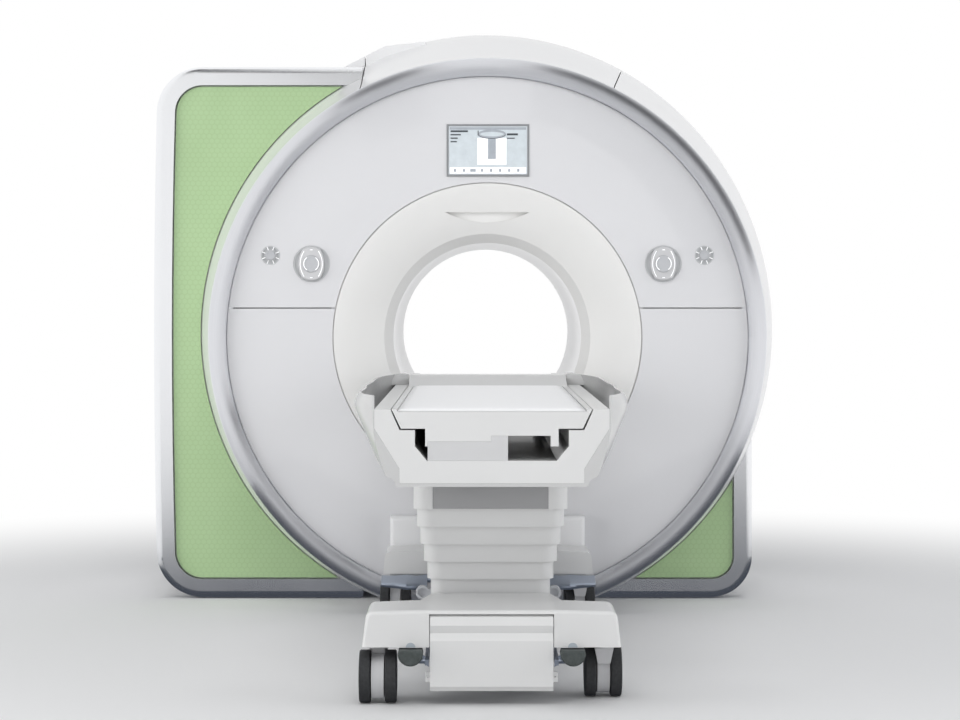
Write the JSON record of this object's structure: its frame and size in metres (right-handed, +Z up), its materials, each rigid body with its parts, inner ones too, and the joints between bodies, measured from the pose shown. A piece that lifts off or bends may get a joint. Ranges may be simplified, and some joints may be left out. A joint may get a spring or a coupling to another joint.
{
  "type": "MRI scanner",
  "caption": "Medical imaging scanner: a round magnet housing with an offset green-panelled side housing, a flared tunnel and a patient table on a telescopic column with castors.",
  "frame": {"origin": "on the floor under the middle of the magnet, midway between the tunnel's side walls", "axes": "+Z up, +Y along the tunnel from the table towards the rear cover, +X to the right as seen by someone facing the front"},
  "size_m": [2.427, 3.497, 2.2231],
  "materials": {
    "inner_steel": "satin",
    "coil_resin": "satin",
    "bore_white": "gloss",
    "funnel_white": "gloss",
    "face_gloss": "gloss",
    "ring_metal": "brushed",
    "frame_metal": "brushed",
    "dark_trim": "gloss",
    "display": "gloss",
    "control_silver": "satin",
    "control_grip": "satin",
    "control_button": "gloss",
    "shell_white": "gloss",
    "panel_green": "satin",
    "table_white": "satin",
    "table_grey": "satin",
    "pad_white": "satin",
    "shroud_white": "gloss",
    "rod_chrome": "gloss",
    "chassis_paint": "satin",
    "castor_grey": "satin",
    "tyre_grey": "matte",
    "pedal_metal": "satin",
    "pedal_rubber": "matte"
  },
  "bodies": {
    "gantry": {"magnet_vessel": "inner_steel", "gradient_coil": "coil_resin", "body_coil": "coil_resin", "bore_liner": "bore_white", "cold_head": "inner_steel", "magnet_feet": "inner_steel", "front_funnel": "funnel_white", "upper_face_panel": "face_gloss", "lower_face_panel": "face_gloss", "front_ring": "ring_metal", "display_bezel": "dark_trim", "display_screen": "display", "control_rings": "control_silver", "shell_left": "shell_white", "shell_top": "shell_white", "shell_right": "shell_white", "rear_cover": "shell_white", "left_frame": "frame_metal", "right_frame": "frame_metal", "left_colour_panel": "panel_green", "right_colour_panel": "panel_green", "left_side_cover": "shell_white", "right_side_cover": "shell_white", "turret_cover": "shell_white", "tunnel_bridge": "bore_white", "docking_housing": "shell_white"},
    "left_rotary_control": {"left_dial": "control_grip"},
    "right_rotary_control": {"right_dial": "control_grip"},
    "left_push": {"left_dial_button": "control_button"},
    "right_push": {"right_dial_button": "control_button"},
    "left_call": {"left_call_button": "control_button"},
    "right_call": {"right_call_button": "control_button"},
    "table_base": {"table_chassis": "chassis_paint", "front_base_cover": "table_white", "rear_base_cover": "table_white", "front_drop_panel": "table_white", "column_cover_6": "table_white", "lift_cylinder": "inner_steel"},
    "table_top_unit": {"table_body": "table_white", "drive_housing": "table_grey", "table_shroud": "shroud_white", "column_cover_1": "table_white", "lift_rod": "rod_chrome"},
    "cover_2": {"column_cover_2": "table_white"},
    "cover_3": {"column_cover_3": "table_white"},
    "cover_4": {"column_cover_4": "table_white"},
    "cover_5": {"column_cover_5": "table_white"},
    "sliding_top": {"tabletop": "table_white", "mattress": "pad_white"},
    "front_pedal": {"front_pedal_bar": "pedal_metal", "front_pedal_pads": "pedal_rubber"},
    "rear_pedal": {"rear_pedal_bar": "pedal_metal"},
    "front_left_castor": {"front_left_castor_yoke": "castor_grey"},
    "front_left_wheels": {"front_left_castor_wheels": "tyre_grey"},
    "front_right_castor": {"front_right_castor_yoke": "castor_grey"},
    "front_right_wheels": {"front_right_castor_wheels": "tyre_grey"},
    "rear_left_castor": {"rear_left_castor_yoke": "castor_grey"},
    "rear_left_wheels": {"rear_left_castor_wheels": "tyre_grey"},
    "rear_right_castor": {"rear_right_castor_yoke": "castor_grey"},
    "rear_right_wheels": {"rear_right_castor_wheels": "tyre_grey"}
  },
  "joints": [
    {"name": "dock_slide", "type": "slide", "parent": "gantry", "child": "table_base", "axis": [0, 1, 0], "range_m": [-1.2, 0]},
    {"name": "lift", "type": "slide", "parent": "table_base", "child": "table_top_unit", "axis": [0, 0, 1], "range_m": [-0.26, 0]},
    {"name": "cover_2_slide", "type": "slide", "parent": "table_base", "child": "cover_2", "axis": [0, 0, 1], "range_m": [-0.208, 0]},
    {"name": "cover_3_slide", "type": "slide", "parent": "table_base", "child": "cover_3", "axis": [0, 0, 1], "range_m": [-0.156, 0]},
    {"name": "cover_4_slide", "type": "slide", "parent": "table_base", "child": "cover_4", "axis": [0, 0, 1], "range_m": [-0.104, 0]},
    {"name": "cover_5_slide", "type": "slide", "parent": "table_base", "child": "cover_5", "axis": [0, 0, 1], "range_m": [-0.052, 0]},
    {"name": "top_slide", "type": "slide", "parent": "table_top_unit", "child": "sliding_top", "axis": [0, 1, 0], "range_m": [0, 1.8]},
    {"name": "left_dial_turn", "type": "hinge", "parent": "gantry", "child": "left_rotary_control", "pos_m": [-0.646, -0.745, 1.284], "axis": [0, 1, 0], "range_deg": [-60, 60], "stiffness_Nm_per_rad": 0.2},
    {"name": "left_dial_push", "type": "slide", "parent": "gantry", "child": "left_push", "axis": [0, 1, 0], "range_m": [0, 0.004], "stiffness_N_per_m": 600},
    {"name": "left_call_push", "type": "slide", "parent": "gantry", "child": "left_call", "axis": [0, 1, 0], "range_m": [0, 0.004], "stiffness_N_per_m": 600},
    {"name": "right_dial_turn", "type": "hinge", "parent": "gantry", "child": "right_rotary_control", "pos_m": [0.646, -0.745, 1.284], "axis": [0, 1, 0], "range_deg": [-60, 60], "stiffness_Nm_per_rad": 0.2},
    {"name": "right_dial_push", "type": "slide", "parent": "gantry", "child": "right_push", "axis": [0, 1, 0], "range_m": [0, 0.004], "stiffness_N_per_m": 600},
    {"name": "right_call_push", "type": "slide", "parent": "gantry", "child": "right_call", "axis": [0, 1, 0], "range_m": [0, 0.004], "stiffness_N_per_m": 600},
    {"name": "front_left_swivel", "type": "hinge", "parent": "table_base", "child": "front_left_castor", "pos_m": [-0.325, -2.494, 0.165], "axis": [0, 0, 1], "continuous": true},
    {"name": "front_left_wheel_spin", "type": "hinge", "parent": "front_left_castor", "child": "front_left_wheels", "pos_m": [-0.325, -2.547, 0.075], "axis": [1, 0, 0], "continuous": true},
    {"name": "front_right_swivel", "type": "hinge", "parent": "table_base", "child": "front_right_castor", "pos_m": [0.325, -2.494, 0.165], "axis": [0, 0, 1], "continuous": true},
    {"name": "front_right_wheel_spin", "type": "hinge", "parent": "front_right_castor", "child": "front_right_wheels", "pos_m": [0.325, -2.441, 0.075], "axis": [1, 0, 0], "continuous": true},
    {"name": "rear_left_swivel", "type": "hinge", "parent": "table_base", "child": "rear_left_castor", "pos_m": [-0.325, -1.039, 0.165], "axis": [0, 0, 1], "continuous": true},
    {"name": "rear_left_wheel_spin", "type": "hinge", "parent": "rear_left_castor", "child": "rear_left_wheels", "pos_m": [-0.325, -1.092, 0.075], "axis": [1, 0, 0], "continuous": true},
    {"name": "rear_right_swivel", "type": "hinge", "parent": "table_base", "child": "rear_right_castor", "pos_m": [0.325, -1.039, 0.165], "axis": [0, 0, 1], "continuous": true},
    {"name": "rear_right_wheel_spin", "type": "hinge", "parent": "rear_right_castor", "child": "rear_right_wheels", "pos_m": [0.325, -0.986, 0.075], "axis": [1, 0, 0], "continuous": true},
    {"name": "front_pedal_press", "type": "hinge", "parent": "table_base", "child": "front_pedal", "pos_m": [0, -2.38, 0.14], "axis": [1, 0, 0], "range_deg": [0, 5], "stiffness_Nm_per_rad": 60},
    {"name": "rear_pedal_press", "type": "hinge", "parent": "table_base", "child": "rear_pedal", "pos_m": [0, -1.185, 0.18], "axis": [1, 0, 0], "range_deg": [0, 10], "stiffness_Nm_per_rad": 30}
  ],
  "couplings": [
    {"joint": "cover_2_slide", "follows": "lift", "ratio": 0.8},
    {"joint": "cover_3_slide", "follows": "lift", "ratio": 0.6},
    {"joint": "cover_4_slide", "follows": "lift", "ratio": 0.4},
    {"joint": "cover_5_slide", "follows": "lift", "ratio": 0.2}
  ]
}
